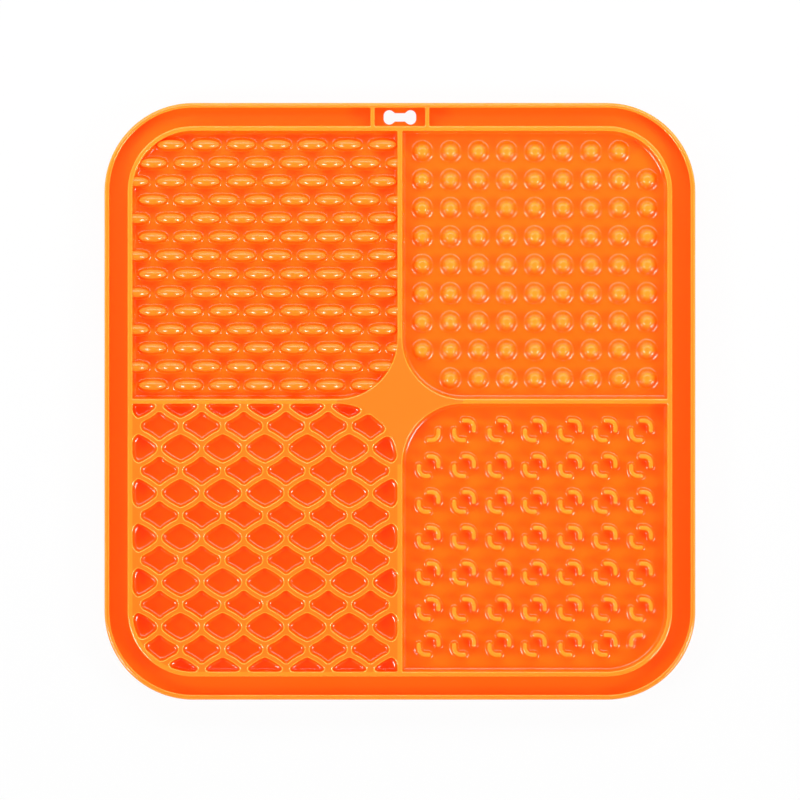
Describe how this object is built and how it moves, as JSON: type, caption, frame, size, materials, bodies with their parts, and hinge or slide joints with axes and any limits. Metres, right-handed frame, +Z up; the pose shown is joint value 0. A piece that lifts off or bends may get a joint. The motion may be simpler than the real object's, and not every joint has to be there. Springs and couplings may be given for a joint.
{
  "type": "lick mat",
  "caption": "Square silicone lick mat for a dog or cat, with textured fields, a spill channel round them, a hanging hole and suction cups below.",
  "frame": {"origin": "middle of the plane that the suction cups stand on", "axes": "+Z up, out of the textured face; +Y towards the edge with the hanging hole; +X to the right as seen from above with that edge away from the viewer"},
  "size_m": [0.2, 0.202, 0.01],
  "materials": {
    "silicone": "satin moulded silicone"
  },
  "bodies": {
    "root": {"base_sheet": "silicone", "channel_floor": "silicone", "hanging_tab": "silicone", "outer_rim": "silicone", "inner_rim": "silicone", "divider_back": "silicone", "divider_front": "silicone", "divider_left": "silicone", "divider_right": "silicone", "centre_star": "silicone", "hanger_rib_left": "silicone", "hanger_rib_right": "silicone", "oval_field": "silicone", "stud_field": "silicone", "lattice_field": "silicone", "arc_field": "silicone", "suction_cups": "silicone"}
  },
  "joints": []
}
